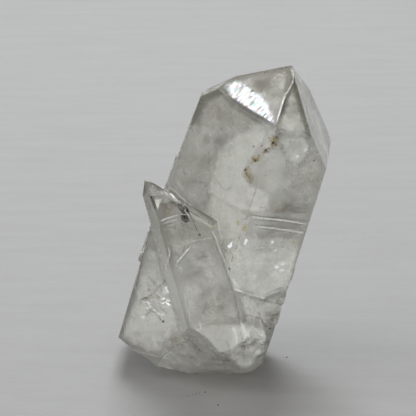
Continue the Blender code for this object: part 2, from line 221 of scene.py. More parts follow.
# Lines on the faces: points in pixels, width in pixels, and how strong the line is in its middle.
# Pale lines: growth steps, ribs and streaks on the faces, and painted highlights along the crystal's edges and its
# bottom outline.
LIGHT_LINES = {
    "point_edge": ([(291, 68), (293.3, 75), (292.8, 81), (288, 91), (284.8, 96), (281, 108), (277, 122)], 1.6, 0.85),
    "right_edge": ([(295, 72), (303, 103), (311, 132)], 1.0, 0.35),
    "right_edge_low": ([(311, 133), (325, 166)], 1.0, 0.35),
    "face_edge": ([(222, 91.5), (240, 108.5), (256, 117.5), (271, 127.5)], 1.0, 0.45),
    "streak_1": ([(308, 104), (314, 118), (320, 132)], 2.4, 0.22),
    "streak_2": ([(312, 116), (317, 128)], 1.6, 0.25),
    "rib_1": ([(251, 217), (281.5, 219.8), (306, 223.7)], 1.8, 0.9),
    "rib_2": ([(257.8, 226), (289.2, 230.2), (303.7, 232.8)], 1.8, 0.75),
    "rib_3": ([(262, 212), (285, 214.5), (308, 217)], 1.0, 0.3),
    "v_left": ([(232.5, 288.7), (243.3, 292.5), (261.6, 297.1)], 1.6, 1.2),
    "v_right": ([(262, 297), (272.3, 292.5), (285.3, 288.7)], 1.5, 1.0),
    "low_ledge_1": ([(256, 247.6), (270, 246.4), (286, 248.8)], 1.1, 0.4),
    "low_ledge_2": ([(252, 262), (268, 264), (284, 263)], 1.1, 0.4),
    "low_ledge_3": ([(262, 269), (280, 267.4)], 1.0, 0.4),
    "v_streak": ([(241, 309), (248, 304)], 1.6, 0.5),
    "step_1": ([(160.2, 221), (169, 217.6), (178.5, 214.6)], 1.6, 0.8),
    "step_2": ([(163.3, 223.6), (177.8, 219)], 1.1, 0.5),
    "step_3": ([(165.6, 230.4), (173, 228)], 1.1, 0.45),
    "step_4": ([(164.6, 227), (176, 223.4)], 1.0, 0.35),
    "ridge": ([(167, 187), (173.3, 189), (184, 199.5), (191.6, 207.2)], 1.4, 0.55),
    "ridge_low": ([(191.6, 207.2), (202, 218), (210, 226.6)], 1.2, 0.15),
    "wedge": ([(161.6, 188), (169, 192), (176.3, 201)], 2.6, 0.65),
    "crack_side": ([(185.5, 208), (190, 219)], 1.0, 0.6),
    "dashes_1": ([(191, 241.6), (196, 240.4), (200, 239.6)], 1.2, 0.55),
    "dashes_2": ([(203, 239.2), (207, 238.8), (212.3, 237.6)], 1.2, 0.5),
    "tongue_right": ([(190, 245.7), (188.6, 248.8), (182.4, 255.7), (177, 262.6), (175, 266)], 1.8, 0.7),
    "tongue_left": ([(168, 246), (169.8, 253), (168.4, 259), (166.6, 264), (167, 272)], 1.5, 0.5),
    "long_pale": ([(183.5, 290), (187, 303), (190.4, 318)], 1.5, 0.4),
    "long_pale_2": ([(178, 300), (183, 312), (186, 326)], 1.3, 0.3),
    "short_edge_1": ([(212.3, 229.7), (218.4, 246.5), (226.8, 267.2)], 1.4, 0.6),
    "short_edge_2": ([(226.8, 267.2), (232.2, 283.2), (238, 303), (242.4, 320)], 1.2, 0.45),
    "short_left_1": ([(146, 188), (149, 196), (153, 207), (158, 221), (161, 236)], 1.2, 0.35),
    "short_left_2": ([(157.2, 251), (164.8, 277)], 1.1, 0.4),
    "patch_wave_1": ([(159.4, 297.5), (162, 299.6), (165, 298.2), (168.6, 301), (172, 300)], 1.9, 1.6),
    "patch_wave_2": ([(160, 302), (163.4, 303.6), (166, 301.8), (169, 304.8), (172, 304.4)], 1.9, 1.6),
    "patch_wave_3": ([(162, 306.4), (166, 306), (169, 308.4)], 1.6, 1.4),
    "patch_wave_4": ([(163, 291), (166, 292.4), (168.6, 291.6), (170.4, 295)], 1.8, 1.5),
    "patch_ring_1": ([(143.3, 303), (146.6, 301.6), (149.6, 303.6), (149.8, 306.6)], 1.8, 1.6),
    "patch_ring_2": ([(144.4, 307.6), (147.4, 308.2), (151.6, 307.2)], 1.6, 1.4),
    "patch_line": ([(160.5, 315.6), (165, 314)], 1.6, 1.3),
    "patch_line_2": ([(152, 309), (157, 311.4), (160, 315)], 1.3, 1.0),
    "scar_right": ([(183.5, 328.5), (192.7, 338.9), (199.5, 348), (211, 352.7), (217.9, 357.2), (226, 359.5)], 1.4, 0.5),
    "scar_left": ([(170.8, 327), (163, 340), (160.5, 350)], 1.1, 0.35),
    "foot_1": ([(199, 320), (201, 330)], 1.2, 0.5),
    "foot_2": ([(240.6, 322), (245, 330), (248.6, 341), (252, 352)], 1.5, 0.65),
    "foot_3": ([(232, 326), (237, 336), (236, 348)], 1.4, 0.5),
    "foot_4": ([(252, 326), (258, 334), (266, 336)], 1.4, 0.5),
    "foot_5": ([(246, 350), (250, 358), (250, 366)], 1.5, 0.9),
    "foot_6": ([(233, 353), (238, 360), (239, 367)], 1.3, 0.7),
    "foot_7": ([(257, 341), (260, 347), (257, 354)], 1.3, 0.7),
    "left_bottom": ([(117.4, 342.6), (135.6, 351), (162.8, 357.4), (184.6, 367)], 1.4, 0.4),
    "bottom": ([(198, 372.2), (215, 371.4), (232, 371.6)], 1.2, 0.4),
}
GREY_LINES = {
    "crack_line": ([(188.6, 212.8), (193, 221), (197.7, 231.2)], 1.1, 0.95),
    "crack_line_2": ([(183, 203), (188, 211), (192, 219)], 0.9, 0.8),
    "crack_cross_1": ([(178, 209), (184, 207), (189, 209)], 0.9, 0.8),
    "crack_cross_2": ([(180, 218), (186, 217)], 0.9, 0.7),
    "short_hatch_1": ([(186, 224), (190, 233), (190, 239)], 1.2, 0.35),
    "hatch_1": ([(258.6, 117), (261, 113.4), (265, 110)], 0.8, 0.75),
    "hatch_2": ([(262, 119.6), (264.6, 115.4), (268.4, 112.6)], 0.8, 0.75),
    "hatch_3": ([(255, 112), (259.6, 108), (262, 104)], 0.7, 0.55),
    "hatch_4": ([(266, 121), (268, 117.6), (271, 115)], 0.7, 0.6),
    "point_shade": ([(294.2, 76), (294, 84), (289.6, 94), (285.6, 104), (280.6, 118)], 1.5, 0.35),
    "right_shade": ([(297.4, 78), (305.4, 105), (313, 132)], 1.2, 0.25),
    "veil_curve": ([(215, 178), (219, 182), (222, 188), (228, 190.6)], 1.0, 0.4),
    "veil_smudge": ([(227.4, 190), (230.6, 187.4), (232, 186.6)], 1.8, 0.5),
    "shoulder_1": ([(208, 151), (209.6, 156), (208.4, 163)], 2.2, 0.35),
    "shoulder_2": ([(183, 170), (185, 174), (183.6, 177)], 2.2, 0.35),
    "right_hatch_1": ([(288, 206), (296, 207.4), (303, 207)], 1.6, 0.4),
    "right_hatch_2": ([(292, 211.4), (300, 212.4), (308, 212)], 1.6, 0.45),
    "right_hatch_3": ([(297, 203.4), (304, 204), (310, 206)], 1.2, 0.35),
    "rib_shade_1": ([(252, 219.2), (281.5, 222), (305.4, 225.8)], 1.2, 0.35),
    "rib_shade_2": ([(260, 228.4), (289, 232.4), (303, 235)], 1.2, 0.35),
    "v_shade_1": ([(261.6, 298.8), (270, 301.7), (281.5, 304.8)], 1.2, 0.55),
    "v_shade_2": ([(258.6, 300), (257.5, 305), (258.4, 309)], 1.0, 0.5),
    "tongue_shade": ([(192, 247), (186, 254), (180, 262), (178.4, 268)], 1.4, 0.3),
    "left_shade": ([(171.6, 246), (172, 254), (169.6, 262), (169.4, 270)], 1.3, 0.3),
    "short_edge_shade": ([(210.4, 231), (216.2, 247), (224.6, 268), (230, 284), (236, 304), (240, 320)], 1.6, 0.3),
    "foot_shade_1": ([(249, 328), (251, 337), (254, 346)], 1.3, 0.4),
    "foot_shade_2": ([(240, 330), (242.6, 340), (241, 350)], 1.5, 0.35),
    "foot_shade_3": ([(226, 340), (230, 350), (228, 358)], 1.2, 0.3),
    "foot_shade_4": ([(237, 343), (241, 347), (246, 345), (249, 349)], 1.3, 0.6),
    "foot_shade_5": ([(240, 351), (244, 356), (243, 362)], 1.2, 0.5),
    "foot_shade_6": ([(251, 357), (254, 351), (259, 348)], 1.2, 0.45),
    "foot_shade_7": ([(255, 330), (259, 337), (264, 341)], 1.1, 0.4),
    "scar_shade": ([(184.6, 330.4), (191, 339.6), (198, 349.4), (209, 354.4)], 1.4, 0.3),
}
BROWN_LINES = {
    "left_silt": ([(150.4, 230), (146.6, 244), (142.6, 258), (139.6, 273), (136, 288)], 1.4, 0.5),
    "tongue_silt": ([(185, 244.6), (184, 249), (182.6, 253)], 1.3, 0.55),
    "patch_silt_1": ([(166.3, 277), (165, 281.5), (158, 288.6), (151.3, 295.3), (141, 299.3)], 1.3, 0.5),
    "patch_silt_2": ([(139.6, 300), (144, 299), (152, 297.4), (160, 297)], 1.1, 0.5),
    "patch_silt_3": ([(157, 313), (151, 311), (147, 313.6), (145, 316)], 1.1, 0.45),
    "trail_line": ([(247.6, 174.6), (249.4, 179), (251.4, 183.6)], 1.2, 0.55),
    "foot_silt": ([(243.2, 314.8), (250, 316), (258, 318.2), (267.3, 320.5), (276.5, 317)], 1.5, 0.45),
    "reddish": ([(258.6, 207), (261.6, 207.6), (264.7, 207.2)], 1.1, 0.45),
    "point_silt": ([(293.6, 84), (292.8, 89), (291, 94)], 2.0, 0.35),
    "short_side_silt": ([(151.4, 198), (152.6, 203), (155.8, 210)], 1.2, 0.3),
    "short_point_silt": ([(165, 190), (174, 193), (184, 201), (190, 208)], 1.2, 0.4),
    "wedge_silt": ([(163, 186.4), (170, 190), (178, 198.6), (188, 209)], 1.0, 0.4),
}
# Soft stains: middle, half width and half height in pixels, and how strong the stain is.
STAINS = {
    "trail_1": ((275, 138), (5, 4), 0.35), "trail_2": ((273, 143.5), (4, 4), 0.45), "trail_3": ((266, 151), (4, 3), 0.5),
    "trail_4": ((255.6, 160), (4, 3), 0.65), "trail_5": ((246, 171.6), (2.6, 5), 0.65),
    "trail_6": ((250, 178), (5, 7), 0.40), "trail_7": ((260, 156), (7, 5), 0.22), "ochre_1": ((275, 207), (7, 8), 0.25),
    "ochre_2": ((287, 208), (9, 5), 0.16), "silted_face": ((169, 208), (9, 9), 0.12), "scar": ((178, 338), (9, 9), 0.20),
    "smear": ((252.5, 91), (3, 1.5), 0.5), "apex": ((281, 68), (4, 2), 0.5),
    "edge": ((293.4, 88), (3, 5), 0.30), "tip": ((153, 199), (2, 2.5), 0.55), "low_front": ((221, 297), (6, 6), 0.25),
    "spot": ((199.6, 234.6), (1.6, 1.6), 0.7), "break": ((243.2, 348), (3, 5), 0.35), "wide_left": ((168, 209), (6, 7), 0.3),
    "face_left": ((215, 112), (10, 14), 0.10), "side_low": ((312, 178), (8, 12), 0.12),
}
YELLOW_STAINS = {
    "yellow_1": ((245, 227.5), (3, 4.5), 0.45), "yellow_2": ((238, 223), (2.5, 3.5), 0.35),
    "yellow_3": ((293.8, 242.8), (2.5, 2.5), 0.35), "yellow_4": ((212.2, 227), (2, 3), 0.40),
    "trail_yellow_1": ((274, 141), (6, 6), 0.28), "trail_yellow_2": ((256, 159), (6, 5), 0.30),
    "trail_yellow_3": ((248, 174), (5, 8), 0.28),
}
# Grains of dirt: place and size in pixels.
BLACK_GRAINS = [
    ((273, 142.6), 2.1), ((266, 150.4), 1.9), ((255.7, 160.5), 1.7), ((245.4, 170.2), 1.4), ((246.6, 173.2), 1.3),
    ((269.3, 138), 1.0), ((262.1, 145.5), 1.1), ((253.9, 146.4), 1.2), ((290, 141.7), 1.2), ((151.5, 197), 1.9),
    ((163.2, 321.3), 1.9), ((229.5, 268.8), 1.3), ((226, 251), 1.0), ((269.6, 328.5), 1.2), ((266, 326.3), 1.2),
    ((187, 210.2), 2.2), ((181, 205), 1.5), ((184, 209), 1.3), ((184.4, 217), 1.5), ((199.5, 349.8), 1.2),
]
BROWN_GRAINS = [
    ((261.3, 91), 1.3), ((251.6, 90.8), 1.2), ((275.8, 144.4), 1.6), ((276.8, 137), 1.2), ((279, 134.6), 1.0),
    ((313.8, 160.6), 1.4), ((247, 175.6), 1.2), ((259, 155.4), 1.1), ((251.4, 163), 1.0), ((248.4, 166.8), 1.1),
    ((253, 158), 1.0), ((257.6, 158.4), 1.1), ((268.6, 148.2), 1.2), ((271, 140.2), 1.0), ((263, 152), 0.9),
    ((199.6, 234.6), 1.2), ((293.5, 142.5), 0.8), ((160.6, 319.4), 1.0), ((250.6, 182.6), 1.0), ((296, 86), 1.0),
    ((293, 90), 0.9), ((286, 67.4), 1.1), ((279, 69), 1.0), ((213, 229), 0.9), ((265.8, 175.4), 0.9),
]
# Zones where finer dirt is strewn: middle and half size in pixels, number of grains.
DIRT_ZONES = [
    ((274, 139), (7, 6), 20), ((263, 149), (9, 5), 16), ((254, 161), (6, 6), 18), ((247, 172), (4, 7), 14),
    ((244, 346), (9, 13), 22), ((270, 328), (6, 5), 8), ((183, 211), (7, 8), 16), ((148, 310), (10, 9), 12),
    ((188, 249), (5, 6), 6), ((250, 85), (24, 10), 6), ((200, 340), (60, 22), 22), ((270, 245), (25, 25), 12),
]
FLOOR_GRAINS = [
    ((286.8, 357.5), 1.8), ((283.6, 357), 0.9), ((196, 394), 1.3), ((205.3, 392.3), 1.6), ((199, 393.2), 1.1),
    ((188.6, 396.4), 1.1), ((218, 405.2), 1.7), ((193, 395), 1.0),
]
# Crumbs that stand out from the outline.
CRUMBS = [((191.2, 127.6), 3.2), ((264.8, 72), 2.4), ((180, 158), 1.8), ((190.4, 124.6), 2.0)]

# The streaked highlight on the left pyramid face.
HIGHLIGHT = [
    (222, 84), (232, 80), (242, 80), (250, 86), (257, 91), (264, 97), (269, 102), (271, 109), (275, 117),
    (275.6, 124), (271.6, 127), (256, 117), (240, 108), (229, 98),
]

VEIL_PITCH_PX = 1.6
CLOUDY_PITCH_PX = 2.2
BORDER_WOBBLE, BORDER_WOBBLE_PX = 0.6, 6
VEIL_WAVE_MM, VEIL_WAVE_PX = 0.5, 25
LINE_STEP_PX = 1.5
LINE_LIFT_MM = 0.09
# How far a line may spread over a face seen edge on, for each pixel of its width.
LINE_REACH_MM = 0.3
# Longer steps and edges would bridge the gap between the two crystals, so they are left out.
LONGEST_LINE_STEP_MM = 1.0
LONGEST_EDGE_MM = 1.4
LINE_ENDS_PX = 3
LINE_WIDTH_SHARE = 0.8
GRAIN_SHARE = 1.25
STAIN_SHARE = 1.35

# Healed cracks all through the crystal, which show from every side.
CLOUDS = 30
CLOUD_SEED = 11
CLOUD_RADIUS_MM = (2.5, 7.0)
CLOUD_DENSITY = (0.20, 0.60)
CLOUD_PITCH_MM = 0.6
CLOUD_MARGIN_MM = 0.5
# Cloudy films on the far faces.
FILMS = 56
FILM_SEED = 3
FILM_RADIUS_MM = (3.0, 7.5)
FILM_DENSITY = (0.30, 0.68)
# Faces turned further from the camera than this cosine count as far ones.
FAR_COSINE = 0.3
DIRT_SEED = 5
FAR_GRAINS = 60


def make_camera():
    data = bpy.data.cameras.new("camera")
    data.lens = LENS_MM
    data.sensor_width = SENSOR_MM
    data.clip_start, data.clip_end = 0.01, 20
    camera = bpy.data.objects.new("camera", data)
    camera.location = Vector(CAMERA_MM) * MM
    look = Vector(CAMERA_AIM_MM) - Vector(CAMERA_MM)
    camera.rotation_euler = look.to_track_quat("-Z", "Y").to_euler()
    bpy.context.scene.collection.objects.link(camera)
    bpy.context.scene.camera = camera
    bpy.context.view_layer.update()


def new_material(name):
    material = bpy.data.materials.new(name)
    material.use_nodes = True
    return material, material.node_tree.nodes, material.node_tree.links


def noise_node(nodes, links, coordinates, scale, detail=3, roughness=0.5):
    texture = nodes.new("ShaderNodeTexNoise")
    texture.inputs["Scale"].default_value = scale
    texture.inputs["Detail"].default_value = detail
    texture.inputs["Roughness"].default_value = roughness
    links.new(coordinates, texture.inputs["Vector"])
    return texture.outputs["Fac"]


def map_range(nodes, links, value, low, high, to_low, to_high):
    node = nodes.new("ShaderNodeMapRange")
    node.inputs["From Min"].default_value = low
    node.inputs["From Max"].default_value = high
    node.inputs["To Min"].default_value = to_low
    node.inputs["To Max"].default_value = to_high
    links.new(value, node.inputs["Value"])
    return node.outputs["Result"]


def math_node(nodes, links, operation, first, second):
    node = nodes.new("ShaderNodeMath")
    node.operation = operation
    for socket, value in zip(node.inputs, (first, second)):
        if isinstance(value, (int, float)):
            socket.default_value = value
        else:
            links.new(value, socket)
    return node.outputs["Value"]


def bump_node(nodes, links, height, distance_mm, strength, normal=None):
    node = nodes.new("ShaderNodeBump")
    node.inputs["Distance"].default_value = distance_mm * MM
    node.inputs["Strength"].default_value = strength
    links.new(height, node.inputs["Height"])
    if normal:
        links.new(normal, node.inputs["Normal"])
    return node.outputs["Normal"]


def attribute_node(nodes, name):
    node = nodes.new("ShaderNodeAttribute")
    node.attribute_name = name
    return node.outputs["Fac"]


def stretched(nodes, links, coordinates, scale):
    """Coordinates scaled by a different factor along each axis."""
    node = nodes.new("ShaderNodeMapping")
    node.inputs["Scale"].default_value = scale
    links.new(coordinates, node.inputs["Vector"])
    return node.outputs["Vector"]


def colour_mix(nodes, links, factor, first, second):
    node = nodes.new("ShaderNodeMix")
    node.data_type = "RGBA"
    node.inputs["A"].default_value = (*first, 1)
    node.inputs["B"].default_value = (*second, 1)
    links.new(factor, node.inputs["Factor"])
    return node.outputs["Result"]


def quartz_material():
    """Clear quartz with a faint haze: a polished skin over a slightly blurred inside, and a rougher break."""
    material, nodes, links = new_material("quartz")
    shader = nodes["Principled BSDF"]
    shader.inputs["Base Color"].default_value = (1, 1, 1, 1)
    shader.inputs["IOR"].default_value = QUARTZ_IOR
    shader.inputs["Transmission Weight"].default_value = 1
    shader.inputs["Coat Weight"].default_value = 1
    shader.inputs["Coat Roughness"].default_value = 0.09
    shader.inputs["Coat IOR"].default_value = QUARTZ_IOR
    place = nodes.new("ShaderNodeTexCoord").outputs["Object"]
    broken = attribute_node(nodes, "broken")
    haze = noise_node(nodes, links, place, 160, 4, 0.6)
    face_roughness = map_range(nodes, links, haze, 0.35, 0.65, 0.20, 0.28)
    grain = noise_node(nodes, links, place, 900, 4, 0.6)
    break_roughness = map_range(nodes, links, grain, 0.35, 0.65, 0.30, 0.50)
    mix = nodes.new("ShaderNodeMix")
    links.new(broken, mix.inputs["Factor"])
    links.new(face_roughness, mix.inputs["A"])
    links.new(break_roughness, mix.inputs["B"])
    links.new(mix.outputs["Result"], shader.inputs["Roughness"])
    swell = bump_node(nodes, links, noise_node(nodes, links, place, 220, 3), 0.3, 0.15)
    grit = math_node(nodes, links, "MULTIPLY", grain, broken)
    links.new(bump_node(nodes, links, grit, 0.25, 0.5, swell), shader.inputs["Normal"])
    absorption = nodes.new("ShaderNodeVolumeAbsorption")
    absorption.inputs["Color"].default_value = (0.80, 0.785, 0.66, 1)
    absorption.inputs["Density"].default_value = 20
    links.new(absorption.outputs["Volume"], nodes["Material Output"].inputs["Volume"])
    return material


def haze_material(name, colour, roughness, grain_scale, low=0.35, high=0.6, least=0.55):
    """A thin cloud: how much it hides comes from the mesh's thick values and from a mottle."""
    material, nodes, links = new_material(name)
    shader = nodes["Principled BSDF"]
    shader.inputs["Roughness"].default_value = roughness
    place = nodes.new("ShaderNodeTexCoord").outputs["Object"]
    tone = noise_node(nodes, links, place, grain_scale * 0.6, 4)
    shade = tuple(part * 0.86 for part in colour)
    links.new(colour_mix(nodes, links, tone, shade, colour), shader.inputs["Base Color"])
    mottle = map_range(nodes, links, noise_node(nodes, links, place, grain_scale, 5, 0.6), low, high, least, 1)
    thick = attribute_node(nodes, "thick")
    links.new(math_node(nodes, links, "MULTIPLY", thick, mottle), shader.inputs["Alpha"])
    return material


def highlight_material():
    """A mirror-like film broken into streaks, with the faint rainbow of a very thin cleft."""
    material, nodes, links = new_material("highlight")
    shader = nodes["Principled BSDF"]
    shader.inputs["Metallic"].default_value = 0.85
    place = nodes.new("ShaderNodeCombineXYZ")
    links.new(attribute_node(nodes, "across"), place.inputs["X"])
    links.new(attribute_node(nodes, "along"), place.inputs["Y"])
    streak = noise_node(nodes, links, stretched(nodes, links, place.outputs["Vector"], (0.75, 0.09, 1)), 1, 4, 0.75)
    hue = nodes.new("ShaderNodeValToRGB")
    band = noise_node(nodes, links, stretched(nodes, links, place.outputs["Vector"], (0.30, 0.12, 1)), 1, 2, 0.5)
    links.new(band, hue.inputs["Fac"])
    ramp = hue.color_ramp
    ramp.elements[0].position = 0.34
    ramp.elements[0].color = (0.70, 0.50, 0.44, 1)
    ramp.elements[1].position = 0.66
    ramp.elements[1].color = (0.40, 0.66, 0.60, 1)
    for position, colour in ((0.41, (0.74, 0.74, 0.72, 1)), (0.49, (0.48, 0.52, 0.78, 1)), (0.55, (0.74, 0.75, 0.76, 1))):
        ramp.elements.new(position).color = colour
    links.new(hue.outputs["Color"], shader.inputs["Base Color"])
    links.new(map_range(nodes, links, streak, 0.3, 0.7, 0.42, 0.20), shader.inputs["Roughness"])
    cover = map_range(nodes, links, streak, 0.45, 0.56, 0.05, 1)
    links.new(math_node(nodes, links, "MULTIPLY", attribute_node(nodes, "thick"), cover), shader.inputs["Alpha"])
    return material


def solid_material(name, dark, light, roughness, scale):
    """An opaque grain or crumb: two tones mixed by noise, with a small bump."""
    material, nodes, links = new_material(name)
    shader = nodes["Principled BSDF"]
    shader.inputs["Roughness"].default_value = roughness
    place = nodes.new("ShaderNodeTexCoord").outputs["Object"]
    tone = noise_node(nodes, links, place, scale, 4, 0.6)
    links.new(colour_mix(nodes, links, tone, dark, light), shader.inputs["Base Color"])
    links.new(bump_node(nodes, links, tone, 0.05, 0.4), shader.inputs["Normal"])
    return material


def add_object(name, mesh_work, material):
    """Turns bmesh work into a piece that belongs to the crystal, without corners that no face uses."""
    loose = [corner for corner in mesh_work.verts if not corner.link_faces]
    bmesh.ops.delete(mesh_work, geom=loose, context="VERTS")
    mesh = bpy.data.meshes.new(name)
    mesh_work.to_mesh(mesh)
    mesh_work.free()
    mesh.materials.append(material)
    piece = bpy.data.objects.new(name, mesh)
    bpy.context.scene.collection.objects.link(piece)
    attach(piece, "root")
    return piece


def refine_break(work):
    """Marks the broken zones, divides them once more and gives them a fine hackle. Returns the layer of the marks."""
    small = {face for face in work.faces if face.calc_area() < BREAK_FACE_MM2 * MM * MM}
    inner = [edge for edge in work.edges if len(edge.link_faces) == 2 and set(edge.link_faces) <= small]
    broken = work.verts.layers.float.new("broken")
    for face in small:
        for corner in face.verts:
            corner[broken] = 1
    cut = bmesh.ops.subdivide_edges(work, edges=inner, cuts=1, use_grid_fill=True)
    for item in cut["geom"]:
        if isinstance(item, bmesh.types.BMVert):
            item[broken] = 1
    work.normal_update()
    for corner in work.verts:
        if corner[broken] and all(face.calc_area() < BREAK_FACE_MM2 * MM * MM for face in corner.link_faces):
            corner.co += corner.normal * HACKLE_MM * MM * noise.noise(corner.co / (HACKLE_GRAIN_MM * MM))
    return broken


def make_quartz():
    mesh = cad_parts["quartz_crystal"].data.copy()
    work = bmesh.new()
    work.from_mesh(mesh)
    bmesh.ops.remove_doubles(work, verts=work.verts, dist=1e-6)
    bmesh.ops.dissolve_limit(work, angle_limit=math.radians(0.3), verts=work.verts, edges=work.edges)
    broken = refine_break(work)
    bmesh.ops.triangulate(work, faces=[face for face in work.faces if len(face.verts) > 4])
    work.normal_update()
    for face in work.faces:
        face.smooth = True
    for edge in work.edges:
        rough = all(corner[broken] for corner in edge.verts)
        angle = math.degrees(edge.calc_face_angle(0))
        edge.smooth = angle < (BREAK_CREASE_ANGLE if rough else 0.5)
    quartz = add_object("quartz_body", work, quartz_material())
    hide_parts("quartz_crystal")
    return quartz


def camera_ray(pixel):
    camera = bpy.context.scene.camera
    middle = PHOTO_SIDE_PX / 2
    seen = Vector((pixel[0] - middle, middle - pixel[1], -LENS_MM / SENSOR_MM * PHOTO_SIDE_PX))
    return camera.location, (camera.matrix_world.to_3x3() @ seen).normalized()


def on_plane(pixel, place, normal):
    """Where the camera's ray through a pixel meets a plane."""
    origin, direction = camera_ray(pixel)
    return origin + direction * ((place - origin).dot(normal) / direction.dot(normal))


class Solid:
    """The CAD solid, for rays: where the camera's ray through a pixel meets it, and where it goes on inside."""

    def __init__(self):
        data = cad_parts["quartz_crystal"].data
        corners = [corner.co.copy() for corner in data.vertices]
        self.tree = BVHTree.FromPolygons(corners, [tuple(face.vertices) for face in data.polygons])

    def surface(self, pixel):
        """Where the ray meets the crystal. A pixel just outside the outline is taken back to it in small steps."""
        pixel = Vector(pixel)
        inward = (Vector(CRYSTAL_MIDDLE_PX) - pixel).normalized() * OUTLINE_STEP_PX
        for _ in range(OUTLINE_STEPS):
            origin, direction = camera_ray(pixel)
            place, normal, _, _ = self.tree.ray_cast(origin, direction)
            if place is not None:
                return place, normal, direction
            pixel += inward
        raise ValueError(f"the crystal isn't near pixel {tuple(pixel)}")

    def inside(self, pixel, depth_mm):
        place, normal, direction = self.surface(pixel)
        if depth_mm < 0:
            return place - normal * depth_mm * MM
        ratio = 1 / QUARTZ_IOR
        cosine = -direction.dot(normal)
        bent = math.sqrt(1 - ratio**2 * (1 - cosine**2))
        inward = direction * ratio + normal * (ratio * cosine - bent)
        far = self.tree.ray_cast(place + inward * 1e-5, inward)[3] or 0
        return place + inward * min(depth_mm * MM / bent, far * 0.8)

    def depth(self, point):
        """How far a point lies inside the solid. Outside it is negative."""
        place, normal, _, distance = self.tree.find_nearest(point)
        return distance if (point - place).dot(normal) < 0 else -distance


def border_distance(point, outline):
    """Distance from a point to the nearest side of a closed outline."""
    best = math.inf
    for start, end in zip(outline, outline[1:] + outline[:1]):
        near, part = geometry.intersect_point_line(point, start, end)
        if part < 0:
            near = start
        elif part > 1:
            near = end
        best = min(best, (near.xy - point).length)
    return best


def border_fade(point, outline, fade_px):
    """0 on a sheet's border and 1 well inside it, with an uneven width."""
    if not fade_px:
        return 1
    uneven = 1 + BORDER_WOBBLE * noise.noise(Vector((*point, fade_px)) / BORDER_WOBBLE_PX)
    share = min(1, border_distance(point, outline) / (fade_px * uneven))
    return share * share * (3 - 2 * share)


def fill_outline(outline, pitch):
    """Triangles that fill an outline: its points and the triangles' corners, in pixels."""
    sides = []
    for start, end in zip(outline, outline[1:] + outline[:1]):
        steps = max(1, round((end - start).length / pitch))
        sides += [start.lerp(end, step / steps) for step in range(steps)]
    points = list(sides)
    low = Vector((min(p.x for p in sides), min(p.y for p in sides)))
    high = Vector((max(p.x for p in sides), max(p.y for p in sides)))
    for row in range(math.ceil((high.y - low.y) / pitch)):
        for column in range(math.ceil((high.x - low.x) / pitch)):
            spot = low + Vector((column + 0.5 * (row % 2), row)) * pitch
            if border_distance(spot, sides) > pitch * 0.5:
                points.append(spot)
    rim = [(index, (index + 1) % len(sides)) for index in range(len(sides))]
    filled = geometry.delaunay_2d_cdt(points, rim, [], 1, 1e-4)
    used = sorted({index for triangle in filled[2] for index in triangle})
    place_of = {index: place for place, index in enumerate(used)}
    return [filled[0][index] for index in used], [[place_of[i] for i in triangle] for triangle in filled[2]]


def add_short_face(work, corners):
    """Adds a face unless one of its edges is so long that it must bridge a gap."""
    if all((end.co - start.co).length < LONGEST_EDGE_MM * MM for start, end in zip(corners, corners[1:] + corners[:1])):
        work.faces.new(corners)


def make_sheet(solid, name, outline, depth_mm, density, fade_px, material, pitch=VEIL_PITCH_PX, lean=(0.7, 0.7)):
    """A sheet below the face. Its across and along values run square to and along a lean given in the picture."""
    outline = [Vector(point) for point in outline]
    points, triangles = fill_outline(outline, pitch)
    work = bmesh.new()
    thick = work.verts.layers.float.new("thick")
    across = work.verts.layers.float.new("across")
    along = work.verts.layers.float.new("along")
    corners = []
    for point in points:
        wave = noise.noise(Vector((*point, depth_mm)) / VEIL_WAVE_PX) if depth_mm > 0 else 0
        corner = work.verts.new(solid.inside(point, depth_mm * (1 + VEIL_WAVE_MM * wave)))
        corner[thick] = density * border_fade(point, outline, fade_px)
        corner[across] = point.x * lean[0] + point.y * lean[1]
        corner[along] = point.x * lean[1] - point.y * lean[0]
        corners.append(corner)
    for triangle in triangles:
        add_short_face(work, [corners[index] for index in triangle])
    for face in work.faces:
        face.smooth = True
    return add_object(name, work, material)


def make_sheets(solid):
    """Veils, smoky zones and flakes. Returns the pale ones, the bright ones and the streaked highlight."""
    white = haze_material("veil", (0.90, 0.91, 0.86), 0.35, 420, 0.36, 0.62, 0.5)
    cloudy = haze_material("cloudy", (0.90, 0.91, 0.86), 0.35, 330, 0.38, 0.68, 0.05)
    smoke = haze_material("smoke", (0.33, 0.295, 0.20), 0.8, 420, 0.38, 0.62, 0.45)
    dim = haze_material("dim", (0.33, 0.30, 0.21), 0.8, 300, 0.48, 0.68, 0)
    crack = haze_material("crack", (0.035, 0.035, 0.03), 0.4, 1500, 0.40, 0.50, 0.35)
    # White for the bright flakes: a painted glint.
    glinting_flake = haze_material("glinting_flake", (0.93, 0.96, 0.99), 0.4, 1500, 0.36, 0.52, 0.5)
    pale = [make_sheet(solid, name, *values, white) for name, values in WHITE_VEILS.items()]
    pale += [make_sheet(solid, name, *values, cloudy, CLOUDY_PITCH_PX) for name, values in CLOUDY_FACES.items()]
    for name, values in SMOKY_VEILS.items():
        make_sheet(solid, name, *values, smoke)
    for name, values in SMOKY_FACES.items():
        make_sheet(solid, name, *values, dim, CLOUDY_PITCH_PX)
    for name, values in DARK_FLAKES.items():
        make_sheet(solid, name, *values, crack, 1)
    bright = [
        make_sheet(solid, name, outline, FILM_MM * 1.5, density, 0, glinting_flake, 1)
        for name, (outline, density) in BRIGHT_FLAKES.items()
    ]
    glint = make_sheet(solid, "highlight", HIGHLIGHT, FILM_MM, 1, 5, highlight_material())
    return pale, bright, glint


